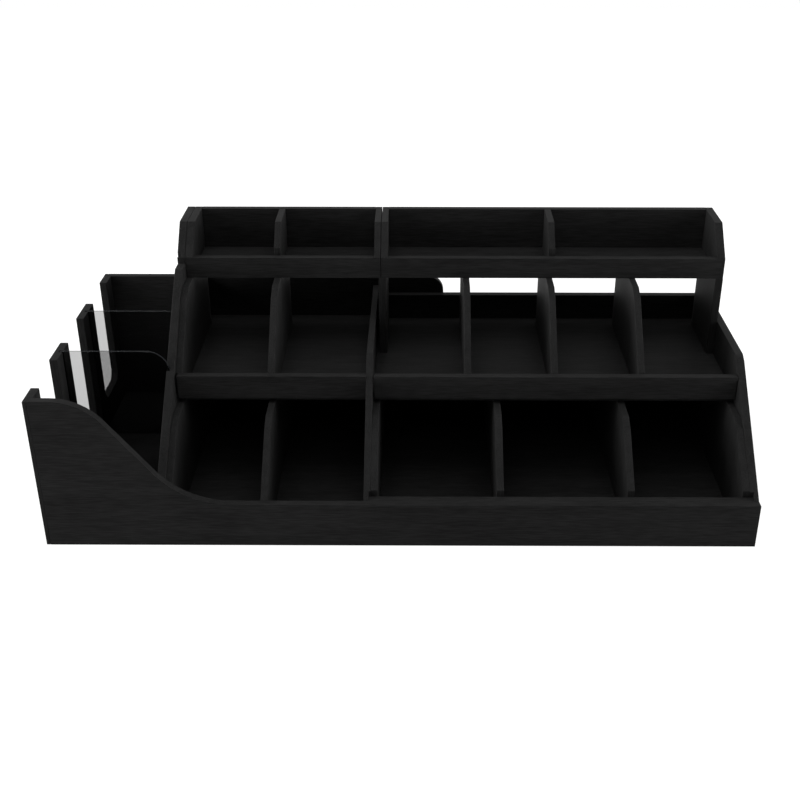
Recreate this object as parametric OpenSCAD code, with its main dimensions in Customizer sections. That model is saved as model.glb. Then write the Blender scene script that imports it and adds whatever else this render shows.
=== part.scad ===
// Coffee station organizer: a low open box of black wood boards.
// On its left are three bays for lids and cups, parted by two clear sheets
// that slide in grooves. Beside them stands a narrow tower of three steps,
// and the rest of the box holds a wide step unit. A small tray is set on
// top of each of the two.
//
// Sizes are in millimetres. The origin is the middle of the footprint, on the
// ground: X runs to the right, Y to the back and Z up. The depths named below
// are measured from the front face, and the three helpers that place a board
// take them to the origin.

/* [Overall] */

// width over the two outer walls
body_w = 690; // [600:5:760]

// depth over the front and back panels
body_d = 320; // [310:2:340]

// height to the top edge of the two trays
body_h = 248; // [240:1:260]

// height of the left wall and of the high part of the back panel
high_wall = 157; // [140:1:170]

// height of the low right stretch of the front panel
low_front = 46.5; // [40:0.5:52]

// height of the low right stretch of the back panel
low_back = 135; // [120:1:142]

// height of the level top of the right wall and the centre wall
side_wall_h = 147; // [141:0.5:152]

/* [Boards] */

// thickness of the outer boards, the lips and the tray backs
board = 8; // [7:0.5:9]

// thickness of the dividers and inner sides
thin_board = 6.6; // [5.5:0.1:7.2]

// thickness of the base board, the shelves and the tray floors
shelf_t = 8; // [7:0.5:9]

// height of the lips along the front of the middle shelves
shelf_lip_h = 24.5; // [20:0.5:28]

// height of the lips along the front of the trays
tray_lip_h = 22; // [18:0.5:26]

/* [Steps] */

// clear width of the lid bays, left wall to tower wall
bay_w = 101.5; // [90:0.5:110]

// distance of the centre wall from the middle, to the left
centre_off = 32.3; // [22:0.1:42]

// front face of the middle lips
middle_front = 104; // [95:1:110]

// underside of the lips of the middle shelves
middle_z = 107.5; // [102:0.5:110]

// top edge of the board that backs the wide step unit
step_back_h = 138; // [130:1:142]

// distance between the dividers of the wide middle step
upper_pitch = 87.3; // [80:0.1:90]

// front face of the tray lips
tray_front = 208; // [204:1:212]

// height of the trays, from their underside to their top edge
tray_h = 51.5; // [46:0.5:56]

// distance of the trays' backs from the rear of the box
tray_setback = 31.5; // [28:0.5:36]

/* [Lid bays] */

// distance from one hand slot to the next
slot_pitch = 101.4; // [98:0.1:103]

// width of a hand slot
slot_w = 60; // [50:1:66]

// height of the bottom of a hand slot
slot_z = 38; // [30:1:60]

// radius of the lower corners of a hand slot
slot_r = 12; // [6:1:20]

// thickness of the clear sheets
sheet_t = 3; // [2:0.1:4]

// depth of the grooves the sheets slide in
groove_depth = 3.5; // [2.5:0.1:4]

// radius of the sheets' upper corner beside the tower
sheet_r = 22; // [10:1:30]

/* [Curves] */

// radius of the upper bend of the front panel's wave
crest_r = 60; // [45:1:65]

// radius of the lower bend of the front panel's wave
trough_r = 90; // [70:1:92]

// steepest angle of the wave
wave_angle = 52; // [45:1:55]

// level length of the front panel's high left end
crest_w = 23; // [15:1:40]

// radius of the step in the back panel
back_step_r = 18; // [10:1:20]

// distance of the step in the back panel from the middle, to the right
back_step_off = 45; // [20:1:80]

/* [Hidden] */

// the part to build

$fn = 96;

// Finishes
black_wood = "#1b1a19";
clear_sheet = "#dfe8ec59";

// Fits
slide_gap = 0.4;
lift_gap = 0.3;
groove_gap = 0.4;
cut_over = 1;

// How far an arc and the straight that meets it run into each other
blend = 0.05;

// The outer boards. The left wall's outer half laps over the ends of the
// front and back panels.
lap = board / 2;
front_face = -body_d / 2;
right_x = body_w / 2;
left_x = -right_x;
inner_left = left_x + board;
inner_right = right_x - board;
inner_front = board;
inner_rear = body_d - board;
base_top = shelf_t;

// The walls inside the box
tower_x = inner_left + bay_w;
tower_in = tower_x + board;
centre_left = -centre_off - thin_board / 2;
centre_right = centre_left + thin_board;
step_left = centre_right;

// The sloped front edges of the walls and dividers run up along one line
slope_rise = 0.865;
slope_foot = 39.5;
function slope_z(y) = slope_foot + slope_rise * y;
function slope_y(z) = (z - slope_foot) / slope_rise;

// The middle shelves: their tops lie a little above the lips' undersides
lip_overlap = 2;
middle_top = middle_z + lip_overlap;
middle_under = middle_top - shelf_t;
middle_lip_rear = middle_front + board;
rail_rear = inner_front + board;

// The trays
tray_z = body_h - tray_h;
tray_rear = body_d - tray_setback;
tray_floor_top = tray_z + shelf_t;
tray_lip_rear = tray_front + board;
tray_lip_top = tray_z + tray_lip_h;
tray_top_front = tray_front + body_h - tray_lip_top;

// The tower wall runs up a little more steeply than the others, to a level
// step just below the top of the tray's lip
tower_foot_rise = 2;
tower_step_drop = 6.5;
tower_step_run = 16;
tower_foot = low_front + tower_foot_rise;
tower_crest = tray_lip_top - tower_step_drop;
tower_crest_y = tray_front - tower_step_run;

// The cut corners at the tops of the walls and dividers, and how far the
// upper dividers' level tops start behind the common slope
wall_corner = 8;
corner_y = 15;
corner_z = 7;
upper_top_back = 2;

// The tower has one divider a step, all three in one line
tower_middle = (tower_in + centre_left) / 2;

// The trays meet over the middle riser
seam_off = 6.4;
left_tray_x = tower_in + lift_gap;
right_tray_x = step_left + seam_off;
left_tray_end = right_tray_x - 2 * lift_gap;
right_tray_end = inner_right - lift_gap;
right_tray_middle = (right_tray_x + thin_board + right_tray_end - board) / 2;
lip_stop = 3;

// The two risers that carry the trays stand on the wide step unit's shelf
riser_inset = 3.7;
middle_riser_x = step_left + riser_inset;
right_riser_x = inner_right - board;

// The dividers of the wide step unit: the lower ones as shares of its clear
// width, the upper ones evenly about its middle
lower_shares = [0.337, 0.695];
step_middle = (step_left + inner_right) / 2;
step_rear = inner_rear - board;

// Gaps at the ends of the middle lips
tower_lip_gap = 2;
step_lip_gap = 1.5;
step_lip_end_gap = 0.75;

// The notches that take the ends of the front rail
rail_notch_depth = 4;
rail_notch_over = 6;

// The two clear sheets stand between the hand slots
sheet_ys = [(body_d - slot_pitch) / 2, (body_d + slot_pitch) / 2];

// A board standing front to back: its outline is drawn as depth and height
module upright(x, thickness) {
    translate([x, front_face, 0])
        rotate([90, 0, 90])
            linear_extrude(thickness)
                children();
}

// A board standing left to right: its outline is drawn as width and height
module crosswise(y, thickness) {
    translate([0, front_face + y + thickness, 0])
        rotate([90, 0, 0])
            linear_extrude(thickness)
                children();
}

// A plain box given by its two opposite corners
module box(low, high) {
    translate([low.x, front_face + low.y, low.z])
        cube(high - low);
}

// Upright groove that guides a clear sheet, cut from x_low to x_high
module sheet_groove(x_low, x_high, y) {
    half = sheet_t / 2 + groove_gap;
    box([x_low, y - half, base_top], [x_high, y + half, high_wall + body_h]);
}

// Both grooves, one behind each clear sheet
module sheet_grooves(x_low, x_high) {
    for (y = sheet_ys)
        sheet_groove(x_low, x_high, y);
}

// Front panel: high at the left, then a wave down to the low stretch
module front_panel() {
    panel_left = left_x + lap;
    crest_end = left_x + crest_w;
    sin_a = sin(wave_angle);
    cos_a = cos(wave_angle);
    bend_drop = (crest_r + trough_r) * (1 - cos_a);
    straight_drop = high_wall - low_front - bend_drop;
    straight_run = straight_drop * cos_a / sin_a;
    upper_x = crest_end + crest_r * sin_a;
    upper_z = high_wall - crest_r * (1 - cos_a);
    lower_x = upper_x + straight_run;
    lower_z = upper_z - straight_drop;
    trough_x = lower_x + trough_r * sin_a;
    color(black_wood)
        crosswise(0, board)
            difference() {
                union() {
                    polygon([
                        [panel_left, 0], [right_x, 0], [right_x, low_front],
                        [trough_x, low_front],
                        [lower_x + blend * sin_a, lower_z + blend * cos_a],
                        [upper_x - blend * sin_a, upper_z - blend * cos_a],
                        [crest_end, high_wall], [panel_left, high_wall]
                    ]);
                    intersection() {
                        translate([crest_end, high_wall - crest_r])
                            circle(crest_r);
                        translate([crest_end, 0])
                            square([crest_r, high_wall]);
                    }
                }
                translate([trough_x, low_front + trough_r - blend])
                    circle(trough_r, $fn = 180);
            }
}

// Back panel: as high as the left wall, then a round step down to the right
module back_panel() {
    panel_left = left_x + lap;
    color(black_wood)
        crosswise(inner_rear, board)
            union() {
                translate([panel_left, 0])
                    square([right_x - panel_left, low_back]);
                translate([panel_left, 0])
                    square([back_step_off - back_step_r - panel_left, high_wall]);
                translate([panel_left, 0])
                    square([back_step_off - panel_left, high_wall - back_step_r]);
                translate([back_step_off - back_step_r, high_wall - back_step_r])
                    circle(back_step_r);
            }
}

// Hand slot outline, open at the top, with round lower corners
module hand_slot() {
    half = slot_w / 2;
    translate([-half, slot_z + slot_r])
        square([slot_w, high_wall]);
    translate([-half + slot_r, slot_z])
        square([slot_w - 2 * slot_r, slot_r + cut_over]);
    for (side = [-1, 1])
        translate([side * (half - slot_r), slot_z + slot_r])
            circle(slot_r);
}

// Left wall: four posts between three hand slots, grooved for the sheets
module left_wall() {
    color(black_wood)
        difference() {
            union() {
                box([left_x, 0, 0], [left_x + lap, body_d, high_wall]);
                box([left_x, inner_front, 0], [inner_left, inner_rear, high_wall]);
            }
            for (i = [-1 : 1])
                upright(left_x - cut_over, board + 2 * cut_over)
                    translate([body_d / 2 + i * slot_pitch, 0])
                        hand_slot();
            sheet_grooves(inner_left - groove_depth, inner_left + cut_over);
        }
}

// Outline of the right and centre walls: a slope, a small cut corner, then
// level to the back
module side_wall_outline(bottom) {
    crest = slope_y(side_wall_h);
    polygon([
        [inner_front, bottom], [inner_rear, bottom], [inner_rear, side_wall_h],
        [crest + wall_corner / 2, side_wall_h],
        [crest - wall_corner / 2, slope_z(crest - wall_corner / 2)],
        [inner_front, slope_z(inner_front)]
    ]);
}

module right_wall() {
    color(black_wood)
        difference() {
            upright(inner_right, board)
                side_wall_outline(0);
            box([inner_right - cut_over, inner_front - cut_over, base_top],
                [inner_right + rail_notch_depth, rail_rear, low_front + rail_notch_over]);
        }
}

module base_board() {
    color(black_wood)
        box([inner_left, inner_front, 0], [inner_right, inner_rear, base_top]);
}

// Tower wall: one long slope, a small level step, then the cheek of the tray
module tower_wall() {
    color(black_wood)
        difference() {
            upright(tower_x, board)
                polygon([
                    [inner_front, base_top], [inner_rear, base_top], [inner_rear, high_wall],
                    [tray_rear, high_wall], [tray_rear, body_h], [tray_top_front, body_h],
                    [tray_front, tray_lip_top], [tray_front, tower_crest],
                    [tower_crest_y, tower_crest], [inner_front, tower_foot]
                ]);
            sheet_grooves(tower_x - cut_over, tower_x + groove_depth);
        }
}

module centre_wall() {
    color(black_wood)
        difference() {
            upright(centre_left, thin_board)
                side_wall_outline(base_top);
            box([centre_right - rail_notch_depth / 2, inner_front - cut_over, base_top],
                [centre_right + cut_over, rail_rear, low_front + rail_notch_over]);
        }
}

// Clear sheet between two lid bays, round at the corner beside the tower
module clear_sheet_at(y) {
    sheet_left = inner_left - groove_depth + slide_gap;
    sheet_right = tower_x + groove_depth - slide_gap;
    color(clear_sheet)
        crosswise(y - sheet_t / 2, sheet_t)
            union() {
                translate([sheet_left, base_top])
                    square([sheet_right - sheet_left, high_wall - sheet_r - base_top]);
                translate([sheet_left, base_top])
                    square([sheet_right - sheet_r - sheet_left, high_wall - base_top]);
                translate([sheet_right - sheet_r, high_wall - sheet_r])
                    circle(sheet_r);
            }
}

module front_clear_sheet() {
    clear_sheet_at(sheet_ys[0]);
}

module rear_clear_sheet() {
    clear_sheet_at(sheet_ys[1]);
}

// Outline of a side or divider in the lowest step, between two depths
module lower_outline(front, rear) {
    crest = slope_y(middle_under) + corner_y / 2;
    polygon([
        [front, base_top], [rear, base_top], [rear, middle_under], [crest, middle_under],
        [crest - corner_y, middle_under - corner_z], [front, slope_z(front)]
    ]);
}

// Outline of a side or divider in the middle step
module upper_outline() {
    crest = slope_y(tray_z) + upper_top_back;
    polygon([
        [middle_lip_rear, middle_top], [tray_rear, middle_top], [tray_rear, tray_z],
        [crest, tray_z], [crest - corner_y, tray_z - corner_z],
        [middle_lip_rear, middle_z + shelf_lip_h]
    ]);
}

// Outline of a tray divider, cut off along the slope in front
module tray_divider_outline() {
    polygon([
        [tray_lip_rear, tray_floor_top], [tray_rear - board, tray_floor_top],
        [tray_rear - board, body_h], [tray_top_front, body_h],
        [tray_lip_rear, tray_lip_top + board]
    ]);
}

// Outline of a tray side
module tray_side_outline() {
    polygon([
        [tray_front, tray_z], [tray_rear, tray_z], [tray_rear, body_h],
        [tray_top_front, body_h], [tray_front, tray_lip_top]
    ]);
}

// Space taken by a lip at the front of a tray
module tray_lip_space(x_low, x_high) {
    box([x_low, tray_front, tray_z], [x_high, tray_lip_rear, tray_lip_top]);
}

// The tower's lowest step
module tower_lower_side() {
    color(black_wood)
        upright(tower_in, thin_board)
            lower_outline(inner_front, inner_rear);
}

module tower_lower_divider() {
    color(black_wood)
        upright(tower_middle - thin_board / 2, thin_board)
            lower_outline(inner_front, inner_rear);
}

// The tower's middle step
module tower_shelf() {
    color(black_wood)
        box([tower_in, middle_lip_rear, middle_under], [centre_left, inner_rear, middle_top]);
}

module tower_lip() {
    color(black_wood)
        box([tower_in + tower_lip_gap, middle_front, middle_z],
            [centre_left, middle_lip_rear, middle_z + shelf_lip_h]);
}

module tower_upper_side() {
    color(black_wood)
        upright(tower_in, thin_board)
            upper_outline();
}

module tower_upper_divider() {
    color(black_wood)
        upright(tower_middle - thin_board / 2, thin_board)
            upper_outline();
}

// The left tray rests on the tower and on the middle riser
module left_tray_floor() {
    color(black_wood)
        box([left_tray_x + board, tray_lip_rear, tray_z],
            [left_tray_end - thin_board, tray_rear - board, tray_floor_top]);
}

module left_tray_back() {
    color(black_wood)
        box([left_tray_x + board, tray_rear - board, tray_z],
            [left_tray_end - thin_board, tray_rear, body_h]);
}

module left_tray_left_side() {
    color(black_wood)
        difference() {
            upright(left_tray_x, board)
                tray_side_outline();
            tray_lip_space(left_tray_x - cut_over, left_tray_x + board + cut_over);
        }
}

module left_tray_right_side() {
    color(black_wood)
        difference() {
            upright(left_tray_end - thin_board, thin_board)
                tray_side_outline();
            tray_lip_space(left_tray_end - board, left_tray_end + cut_over);
        }
}

module left_tray_lip() {
    color(black_wood)
        tray_lip_space(left_tray_x, left_tray_end);
}

module left_tray_divider() {
    color(black_wood)
        upright(tower_middle - thin_board / 2, thin_board)
            tray_divider_outline();
}

// The wide step unit's lowest step, behind its own front rail
module step_front_rail() {
    color(black_wood)
        box([centre_right - rail_notch_depth / 2, inner_front, base_top],
            [inner_right + rail_notch_depth, rail_rear, low_front]);
}

module step_left_side() {
    color(black_wood)
        upright(step_left, thin_board)
            lower_outline(rail_rear, step_rear);
}

module step_right_side() {
    color(black_wood)
        upright(inner_right - thin_board, thin_board)
            lower_outline(rail_rear, step_rear);
}

module step_lower_dividers() {
    low = step_left + thin_board;
    high = inner_right - thin_board;
    color(black_wood)
        for (share = lower_shares)
            upright(low + (high - low) * share - thin_board / 2, thin_board)
                lower_outline(rail_rear, step_rear);
}

// The wide step unit's middle step
module step_shelf() {
    color(black_wood)
        box([step_left, middle_lip_rear, middle_under], [inner_right, step_rear, middle_top]);
}

module step_lip() {
    color(black_wood)
        box([step_left + step_lip_gap, middle_front, middle_z],
            [inner_right - step_lip_end_gap, middle_lip_rear, middle_z + shelf_lip_h]);
}

module step_upper_dividers() {
    color(black_wood)
        for (i = [-1 : 1])
            upright(step_middle + i * upper_pitch - thin_board / 2, thin_board)
                upper_outline();
}

// The board that closes the back of the wide step unit
module step_back() {
    color(black_wood)
        box([step_left, step_rear, base_top], [inner_right, inner_rear, step_back_h]);
}

// The risers that carry the trays
module riser(x) {
    color(black_wood)
        box([x, tray_front, middle_top], [x + board, tray_rear, tray_z]);
}

module middle_riser() {
    riser(middle_riser_x);
}

module right_riser() {
    riser(right_riser_x);
}

// The right tray rests on the two risers
module right_tray_floor() {
    color(black_wood)
        box([right_tray_x + thin_board, tray_lip_rear, tray_z],
            [right_tray_end - board, tray_rear - board, tray_floor_top]);
}

module right_tray_back() {
    color(black_wood)
        box([right_tray_x + thin_board, tray_rear - board, tray_z],
            [right_tray_end - board, tray_rear, body_h]);
}

module right_tray_left_side() {
    color(black_wood)
        difference() {
            upright(right_tray_x, thin_board)
                tray_side_outline();
            tray_lip_space(right_tray_x - cut_over, right_tray_x + board);
        }
}

module right_tray_right_side() {
    color(black_wood)
        difference() {
            upright(right_tray_end - board, board)
                tray_side_outline();
            tray_lip_space(right_tray_end - board - cut_over, right_tray_end - lip_stop);
        }
}

module right_tray_lip() {
    color(black_wood)
        tray_lip_space(right_tray_x, right_tray_end - lip_stop);
}

module right_tray_divider() {
    color(black_wood)
        upright(right_tray_middle - thin_board / 2, thin_board)
            tray_divider_outline();
}

front_panel();
back_panel();
left_wall();
right_wall();
base_board();
tower_wall();
centre_wall();
step_back();
middle_riser();
right_riser();
front_clear_sheet();
rear_clear_sheet();
tower_lower_side();
tower_lower_divider();
tower_shelf();
tower_lip();
tower_upper_side();
tower_upper_divider();
left_tray_floor();
left_tray_back();
left_tray_left_side();
left_tray_right_side();
left_tray_lip();
left_tray_divider();
step_front_rail();
step_left_side();
step_right_side();
step_lower_dividers();
step_shelf();
step_lip();
step_upper_dividers();
right_tray_floor();
right_tray_back();
right_tray_left_side();
right_tray_right_side();
right_tray_lip();
right_tray_divider();
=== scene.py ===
# Coffee station organizer: a low box of black-stained wood boards with three
# lid bays, a narrow tower of steps, a wide step unit and two trays on top.
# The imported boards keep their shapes; this script gives them eased edges,
# their stained grain, the clear sheets, the light and the camera.

import math

import bpy
import numpy as np
from mathutils import Matrix, Vector

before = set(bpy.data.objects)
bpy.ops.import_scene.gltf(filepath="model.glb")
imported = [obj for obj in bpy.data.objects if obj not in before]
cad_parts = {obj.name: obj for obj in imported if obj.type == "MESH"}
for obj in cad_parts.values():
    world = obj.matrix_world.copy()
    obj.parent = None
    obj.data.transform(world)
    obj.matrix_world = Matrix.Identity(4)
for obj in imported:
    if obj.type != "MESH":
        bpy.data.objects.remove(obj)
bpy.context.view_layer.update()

MM = 0.001


# The shooting table
# White paper under and behind the object, and soft boxes low at both sides,
# above and in front. What the camera and the mirrors see of the paper is pure
# white; the soft boxes alone light the black wood.
def linear(code):
    """An sRGB hex colour as linear RGBA: each channel's power curve undone."""
    channels = np.array([int(code[i:i + 2], 16) for i in (1, 3, 5)]) / 255
    low = channels / 12.92
    high = ((channels + 0.055) / 1.055) ** 2.4
    return (*np.where(channels <= 0.04045, low, high), 1.0)


def add(tree, kind, settings=None, **links):
    """Adds a node, sets its properties or sockets, and links named sockets to outputs."""
    node = tree.nodes.new(kind)
    for name, value in (settings or {}).items():
        if isinstance(name, str) and hasattr(node, name):
            setattr(node, name, value)
        else:
            node.inputs[name].default_value = value
    for name, output in links.items():
        tree.links.new(output, node.inputs[name.replace("_", " ")])
    return node


def new_material(name):
    """An empty node material and its output node."""
    material = bpy.data.materials.new(name)
    material.use_nodes = True
    material.node_tree.nodes.clear()
    return material, add(material.node_tree, "ShaderNodeOutputMaterial")


def seen_directly(tree):
    """1 for camera, mirror and see-through rays, 0 for the rays that light the object."""
    path = add(tree, "ShaderNodeLightPath")
    first = add(tree, "ShaderNodeMath", {"operation": "MAXIMUM"})
    tree.links.new(path.outputs["Is Camera Ray"], first.inputs[0])
    tree.links.new(path.outputs["Is Glossy Ray"], first.inputs[1])
    both = add(tree, "ShaderNodeMath", {"operation": "MAXIMUM"})
    tree.links.new(first.outputs[0], both.inputs[0])
    tree.links.new(path.outputs["Is Transmission Ray"], both.inputs[1])
    return both.outputs[0]


world = bpy.data.worlds.new("white_backdrop")
world.use_nodes = True
room = world.node_tree
room.nodes.clear()
backdrop = add(room, "ShaderNodeBackground", {"Color": linear("#ffffff")}, Strength=seen_directly(room))
add(room, "ShaderNodeOutputWorld", {}, Surface=backdrop.outputs[0])
bpy.context.scene.world = world

floor_half = 3.0
floor_mesh = bpy.data.meshes.new("paper_sweep")
floor_mesh.from_pydata(
    [(-floor_half, -floor_half, 0), (floor_half, -floor_half, 0),
     (floor_half, floor_half, 0), (-floor_half, floor_half, 0)],
    [], [(0, 1, 2, 3)],
)
floor = bpy.data.objects.new("paper_sweep", floor_mesh)
bpy.context.scene.collection.objects.link(floor)
paper, paper_out = new_material("white_paper")
tree = paper.node_tree
lit = add(tree, "ShaderNodeBsdfDiffuse", {"Color": linear("#f4f4f4")})
shade = add(tree, "ShaderNodeBsdfDiffuse", {"Color": linear("#909090")})
spot = add(tree, "ShaderNodeTexCoord")
away = add(tree, "ShaderNodeVectorMath", {"operation": "LENGTH"}, Vector=spot.outputs["Object"])
whiteness = add(tree, "ShaderNodeMapRange",
                {"From Min": 0.4, "From Max": 0.8, "To Min": 0.86, "To Max": 1.0}, Value=away.outputs["Value"])
glow = add(tree, "ShaderNodeEmission", {"Color": linear("#ffffff")}, Strength=whiteness.outputs[0])
bright = add(tree, "ShaderNodeAddShader")
tree.links.new(shade.outputs[0], bright.inputs[0])
tree.links.new(glow.outputs[0], bright.inputs[1])
paper_mix = add(tree, "ShaderNodeMixShader", {}, Fac=seen_directly(tree))
tree.links.new(lit.outputs[0], paper_mix.inputs[1])
tree.links.new(bright.outputs[0], paper_mix.inputs[2])
tree.links.new(paper_mix.outputs[0], paper_out.inputs["Surface"])
floor.data.materials.append(paper)


def soft_box(name, place, target, size, power):
    """A square lamp at a place, turned towards a target point."""
    lamp = bpy.data.lights.new(name, "AREA")
    lamp.shape = "SQUARE"
    lamp.size = size
    lamp.energy = power
    holder = bpy.data.objects.new(name, lamp)
    holder.location = place
    holder.rotation_euler = (Vector(target) - Vector(place)).to_track_quat("-Z", "Y").to_euler()
    bpy.context.scene.collection.objects.link(holder)


middle = (0, 0, 0.1)
soft_box("top_soft_box", (0, -0.1, 1.9), middle, 1.4, 12)
soft_box("front_soft_box", (0, -1.2, 1.6), middle, 1.2, 5)
soft_box("left_soft_box", (-2.0, -0.3, 0.7), middle, 1.2, 37)
soft_box("right_soft_box", (2.0, -0.3, 0.7), middle, 1.2, 27)
soft_box("left_low_box", (-2.0, 0.1, 0.35), middle, 0.6, 28)
soft_box("right_low_box", (2.0, 0.1, 0.35), middle, 0.6, 17)

# The camera stands in front of the middle, a little above the object, and
# was set from the corners of the box in the photograph.
eye = Vector((19.36, -1102.43, 649.79)) * MM
pitch, yaw, roll = 0.492106, -0.0036852, 0.00079755
ahead = Vector((math.sin(yaw) * math.cos(pitch), math.cos(yaw) * math.cos(pitch), -math.sin(pitch)))
level = Vector((math.cos(yaw), -math.sin(yaw), 0))
over = level.cross(ahead)
right = math.cos(roll) * level + math.sin(roll) * over
up = math.cos(roll) * over - math.sin(roll) * level
camera_data = bpy.data.cameras.new("camera")
camera_data.sensor_fit = "HORIZONTAL"
camera_data.sensor_width = 36
camera_data.lens = 52.521
camera_data.shift_x = -0.021234
camera_data.shift_y = 0.018768
camera = bpy.data.objects.new("camera", camera_data)
turn = Matrix((right, up, -ahead)).transposed().to_4x4()
camera.matrix_world = Matrix.Translation(eye) @ turn
bpy.context.scene.collection.objects.link(camera)
bpy.context.scene.camera = camera
bpy.context.scene.view_settings.view_transform = "Standard"


# The outer box
# Eight millimetre boards faced with oak and stained black, with the grain
# along each board's length. Their sawn edges are eased with fine paper.
def black_oak(name, grain):
    """Black-stained oak with its grain along x, y or z: noise stretched along that axis."""
    material, output = new_material(name)
    nodes = material.node_tree
    place = add(nodes, "ShaderNodeTexCoord").outputs["Object"]

    def stretched(across_mm, along_mm, detail, offset):
        """Noise with the given widths across and along the grain, from 0 to 1."""
        scale = [1 / (across_mm * MM)] * 3
        scale["xyz".index(grain)] = 1 / (along_mm * MM)
        mapping = add(nodes, "ShaderNodeMapping", {"Scale": scale, "Location": offset}, Vector=place)
        noise = add(nodes, "ShaderNodeTexNoise", {"Scale": 1.0, "Detail": detail},
                    Vector=mapping.outputs["Vector"])
        return noise.outputs["Fac"]

    fibres = stretched(1.1, 17, 3.0, (3.1, 7.7, 1.9))
    figure = stretched(8, 90, 2.0, (11.3, 2.4, 5.2))
    cloud = stretched(45, 120, 1.0, (0.7, 4.4, 8.8))

    fibre_tone = add(nodes, "ShaderNodeMapRange",
                     {"From Min": 0.36, "From Max": 0.64, "To Min": 0.12, "To Max": 0.54}, Value=fibres)
    figure_tone = add(nodes, "ShaderNodeMapRange",
                      {"From Min": 0.3, "From Max": 0.7, "To Min": 0.0, "To Max": 0.22}, Value=figure)
    cloud_tone = add(nodes, "ShaderNodeMapRange",
                     {"From Min": 0.3, "From Max": 0.7, "To Min": 0.0, "To Max": 0.16}, Value=cloud)
    sum_two = add(nodes, "ShaderNodeMath", {"operation": "ADD"})
    nodes.links.new(fibre_tone.outputs[0], sum_two.inputs[0])
    nodes.links.new(figure_tone.outputs[0], sum_two.inputs[1])
    tone = add(nodes, "ShaderNodeMath", {"operation": "ADD"})
    nodes.links.new(sum_two.outputs[0], tone.inputs[0])
    nodes.links.new(cloud_tone.outputs[0], tone.inputs[1])
    colours = add(nodes, "ShaderNodeMix", {"data_type": "RGBA"})
    nodes.links.new(tone.outputs[0], colours.inputs[0])
    colours.inputs[6].default_value = linear("#121212")
    colours.inputs[7].default_value = linear("#2a2a2a")

    gloss = add(nodes, "ShaderNodeMapRange", {"To Min": 0.5, "To Max": 0.66}, Value=fibres)
    relief = add(nodes, "ShaderNodeBump", {"Strength": 0.25, "Distance": 0.15 * MM}, Height=fibres)
    surface = add(nodes, "ShaderNodeBsdfPrincipled", {"IOR": 1.5, "Specular IOR Level": 0.03},
                  Roughness=gloss.outputs[0], Normal=relief.outputs["Normal"])
    nodes.links.new(colours.outputs[2], surface.inputs["Base Color"])
    nodes.links.new(surface.outputs[0], output.inputs["Surface"])
    return material


oak_across = black_oak("black_stained_oak_across", "x")
oak_upright = black_oak("black_stained_oak_upright", "z")


def finish_board(node, material, easing=0.5):
    """Gives a packed board its material and sanded edges.

    Its triangles are welded and its edges bevelled, and then every large face
    is shaded flat, so that only the narrow bevels turn the light.
    """
    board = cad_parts[node]
    board.data.materials.clear()
    board.data.materials.append(material)
    weld = board.modifiers.new("weld", "WELD")
    weld.merge_threshold = 0.01 * MM
    bevel = board.modifiers.new("eased_edges", "BEVEL")
    bevel.width = easing * MM
    bevel.segments = 2
    bevel.limit_method = "ANGLE"
    bevel.angle_limit = math.radians(25)
    flatness = board.modifiers.new("flat_faces", "WEIGHTED_NORMAL")
    flatness.weight = 100


for node in ("front_panel", "back_panel", "base_board"):
    finish_board(node, oak_across)
for node in ("left_wall", "right_wall", "tower_wall", "centre_wall"):
    finish_board(node, oak_upright)


# The clear sheets
# Two 3 mm sheets of tinted cast acrylic, laser cut, that slide down the
# grooves between the lid bays. A sheet takes half of the light that is seen
# through it and most of the light that falls through it at a slant. Its cut
# edges, which face away from the front and the back, are painted a paler
# colour: a painted highlight for the light that the edges catch.
acrylic, acrylic_out = new_material("clear_cast_acrylic")
tree = acrylic.node_tree
facing = add(tree, "ShaderNodeNewGeometry")
normal = add(tree, "ShaderNodeSeparateXYZ", {}, Vector=facing.outputs["Normal"])
flat = add(tree, "ShaderNodeMath", {"operation": "ABSOLUTE"}, Value=normal.outputs["Y"])
seen_cover = add(tree, "ShaderNodeMapRange",
                 {"From Min": 0.3, "From Max": 0.9, "To Min": 0.5, "To Max": 0.31}, Value=flat.outputs[0])
path = add(tree, "ShaderNodeLightPath")
cover = add(tree, "ShaderNodeMix", {"B": 0.75}, Factor=path.outputs["Is Shadow Ray"], A=seen_cover.outputs[0])
# Painted highlight: faces turned away from the front and back get the pale #303234, and the broad faces keep
# the sheet's dark tint.
tint_and_edge_highlight = add(tree, "ShaderNodeMix", {"data_type": "RGBA"})
tree.links.new(flat.outputs[0], tint_and_edge_highlight.inputs[0])
tint_and_edge_highlight.inputs[6].default_value = linear("#303234")
tint_and_edge_highlight.inputs[7].default_value = linear("#060606")
clear = add(tree, "ShaderNodeBsdfPrincipled", {"Roughness": 0.2, "IOR": 1.49, "Specular IOR Level": 0.02},
            Alpha=cover.outputs[0])
tree.links.new(tint_and_edge_highlight.outputs[2], clear.inputs["Base Color"])
tree.links.new(clear.outputs[0], acrylic_out.inputs["Surface"])
for node in ("front_clear_sheet", "rear_clear_sheet"):
    finish_board(node, acrylic, easing=0.2)


# The tower of steps
# Three steps of small pockets between the tower wall and the centre wall.
# The shelves and lips run across, the sides and dividers stand upright.
for node in ("tower_shelf", "tower_lip"):
    finish_board(node, oak_across)
for node in ("tower_lower_side", "tower_lower_divider", "tower_upper_side", "tower_upper_divider"):
    finish_board(node, oak_upright)


# The wide step unit
# Three wide pockets below and four above, behind its own front rail, and the
# two risers on its shelf that carry the trays.
for node in ("step_front_rail", "step_shelf", "step_lip", "step_back"):
    finish_board(node, oak_across)
for node in ("step_left_side", "step_right_side", "step_lower_dividers", "step_upper_dividers",
             "middle_riser", "right_riser"):
    finish_board(node, oak_upright)


# The two trays
# Shallow trays of two pockets each. The left one rests on the tower and the
# middle riser, the right one on both risers.
for side in ("left", "right"):
    for node in ("floor", "back", "lip"):
        finish_board(f"{side}_tray_{node}", oak_across)
    for node in ("left_side", "right_side", "divider"):
        finish_board(f"{side}_tray_{node}", oak_upright)
